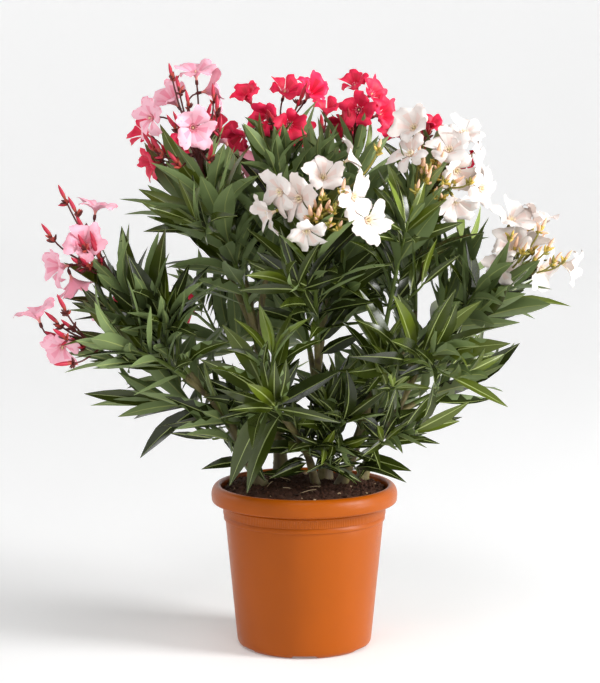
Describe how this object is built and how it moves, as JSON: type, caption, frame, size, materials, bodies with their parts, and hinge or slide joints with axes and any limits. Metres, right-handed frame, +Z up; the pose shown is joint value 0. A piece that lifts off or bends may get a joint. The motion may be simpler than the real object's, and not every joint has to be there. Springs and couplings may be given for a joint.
{
  "type": "potted oleander",
  "caption": "Flowering evergreen shrub of leaning stems in a round plastic nursery pot, with narrow whorled leaves and open heads of pink, red and white blossom.",
  "frame": {"origin": "the centre of the pot's flat underside, on the surface that the pot stands on", "axes": "+Z is up, along the pot's axis, and is the longest extent; +X is to the right seen from the front; -Y is the front of the plant"},
  "size_m": [0.6112, 0.4885, 0.6614],
  "materials": {
    "pot": "moulded terracotta-coloured plastic, slightly glossy",
    "soil": "moist, coarse potting soil",
    "bark": "smooth young bark, green-brown, with leaf scars",
    "foliage": "leathery leaves, satin, with pale midribs, and silky petals in pink, red and white"
  },
  "bodies": {
    "root": {"pot": "pot", "soil": "soil", "stem_back_left": "bark", "stem_back_right": "bark", "stem_centre": "bark", "stem_left": "bark", "stem_right": "bark", "stem_young": "bark", "bough_back_centre_high": "bark", "bough_back_centre_low": "bark", "bough_back_left_high": "bark", "bough_back_left_low": "bark", "bough_back_right_high": "bark", "bough_back_right_low": "bark", "bough_leafy_low_left": "bark", "bough_leafy_low_right": "bark", "bough_leafy_mid_right": "bark", "bough_pink_lower_left": "bark", "bough_pink_small_left": "bark", "bough_pink_top_left": "bark", "bough_pink_upper_left": "bark", "bough_red_left": "bark", "bough_red_right": "bark", "bough_red_top": "bark", "bough_red_top_right": "bark", "bough_rosette_right": "bark", "bough_white_far_right": "bark", "bough_white_front": "bark", "bough_white_top_right": "bark", "bough_young_right": "bark", "mass_back_centre_high": "foliage", "mass_back_centre_low": "foliage", "mass_back_left_high": "foliage", "mass_back_left_low": "foliage", "mass_back_right_high": "foliage", "mass_back_right_low": "foliage", "mass_front_young": "foliage", "mass_leafy_low_left": "foliage", "mass_leafy_low_right": "foliage", "mass_leafy_mid_right": "foliage", "mass_low_back": "foliage", "mass_low_front": "foliage", "mass_low_front_left": "foliage", "mass_low_front_right": "foliage", "mass_pink_lower_left": "foliage", "mass_pink_small_left": "foliage", "mass_pink_top_left": "foliage", "mass_pink_upper_left": "foliage", "mass_red_left": "foliage", "mass_red_right": "foliage", "mass_red_top": "foliage", "mass_red_top_right": "foliage", "mass_rosette_right": "foliage", "mass_white_far_right": "foliage", "mass_white_front": "foliage", "mass_white_top_right": "foliage", "mass_young_right": "foliage", "mass_young_side": "foliage"}
  },
  "joints": []
}
